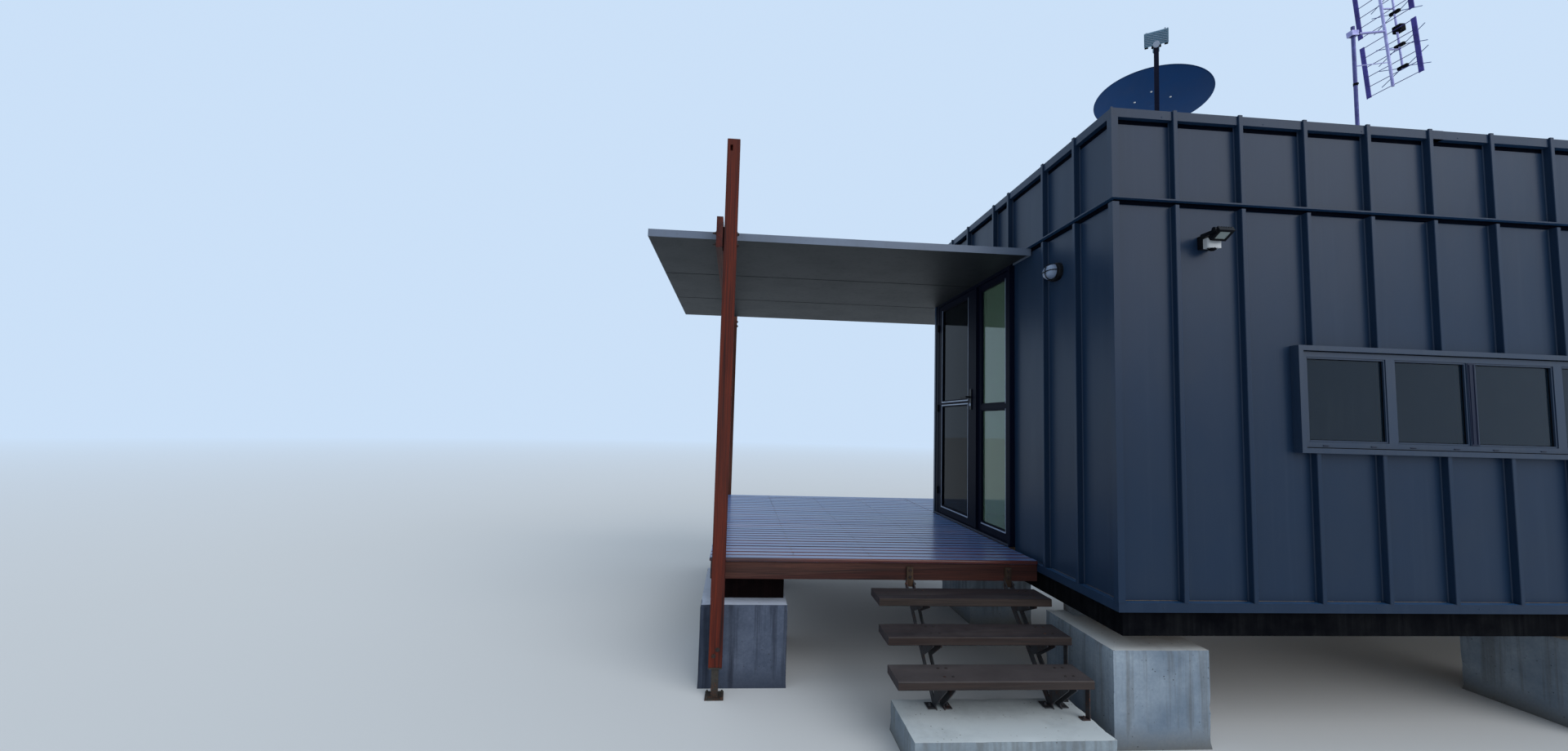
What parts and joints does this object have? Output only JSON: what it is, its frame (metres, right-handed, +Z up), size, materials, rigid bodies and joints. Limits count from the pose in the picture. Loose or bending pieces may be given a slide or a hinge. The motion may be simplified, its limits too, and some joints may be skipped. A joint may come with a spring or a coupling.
{
  "type": "shipping container cabin",
  "caption": "Flat-roofed steel-clad cabin on concrete piers, with a hinged glazed door, strip window, timber deck, canopy, open steps, roof dish and antenna.",
  "frame": {"origin": "middle of the bounding box at ground level", "axes": "+X along the front wall away from the deck, +Y from the front wall to the back, +Z up"},
  "size_m": [8.679, 4.381, 5.7896],
  "materials": {
    "chassis_paint": "satin black paint",
    "floor_ply": "sealed ply platform",
    "wall_board": "pale insulated wall board",
    "roof_sheet": "pale grey coated sheet",
    "cladding_steel": "satin slate grey coated steel",
    "shadow_seal": "dark closure strip",
    "window_alloy": "powder-coated aluminium",
    "window_glass": "tinted glass",
    "door_alloy": "dark powder-coated aluminium",
    "door_glass": "grey glass",
    "black_metal": "black paint",
    "canopy_sheet": "coated roof panel",
    "canopy_trim": "pale grey folded trim",
    "post_timber": "oiled red-brown hardwood",
    "deck_timber": "glossy oiled hardwood",
    "frame_timber": "oiled hardwood",
    "tread_timber": "dark weathered hardwood",
    "galvanised": "dull galvanised steel",
    "concrete": "cast concrete, weathered",
    "light_plastic": "pale moulded plastic",
    "dish_paint": "dark grey paint",
    "feed_cast": "cast housing",
    "antenna_alloy": "weathered aluminium"
  },
  "bodies": {
    "cabin": {"base_frame": "chassis_paint", "cabin_floor": "floor_ply", "front_wall": "wall_board", "back_wall": "wall_board", "right_end_wall": "wall_board", "door_wall_front": "wall_board", "door_wall_head": "wall_board", "door_corner_post": "door_alloy", "roof_deck": "roof_sheet", "front_cladding": "cladding_steel", "back_cladding": "cladding_steel", "door_end_cladding": "cladding_steel", "right_end_cladding": "cladding_steel", "belt_flashing": "cladding_steel", "shadow_strips": "shadow_seal", "base_flashing": "cladding_steel", "parapet_capping": "cladding_steel", "corner_flashings": "cladding_steel", "window_surround": "window_alloy", "window_sash": "window_alloy", "window_glass": "window_glass", "door_frame": "door_alloy", "fixed_light_frame": "door_alloy", "fixed_light_glass": "door_glass", "frame_hinges": "black_metal", "canopy_panels": "canopy_sheet", "canopy_trim": "canopy_trim", "canopy_bearer": "post_timber", "bearer_packers": "frame_timber", "canopy_posts": "post_timber", "post_shoes": "galvanised", "deck_boards": "deck_timber", "deck_edge_beams": "frame_timber", "deck_joists": "frame_timber", "deck_stubs": "frame_timber", "stair_treads": "tread_timber", "stair_stringers": "galvanised", "beam_cleats": "frame_timber", "step_pad": "concrete", "cabin_piers": "concrete", "deck_piers": "concrete", "steel_stubs": "galvanised", "flood_light": "black_metal", "motion_sensor": "light_plastic", "bulkhead_light": "light_plastic", "satellite_dish": "dish_paint", "dish_arm": "black_metal", "dish_feed": "feed_cast", "dish_mount": "galvanised", "antenna_mast": "antenna_alloy", "antenna_boom": "antenna_alloy", "antenna_reflector": "antenna_alloy", "antenna_feed": "antenna_alloy", "antenna_elements": "antenna_alloy"},
    "door": {"door_leaf": "door_alloy", "door_leaf_glass": "door_glass", "door_handle": "black_metal", "leaf_hinges": "black_metal"}
  },
  "joints": [
    {"name": "door_hinge", "type": "hinge", "parent": "cabin", "child": "door", "pos_m": [-1.6385, 0.803, 1.92], "axis": [0, 0, -1], "range_deg": [0, 100]}
  ]
}
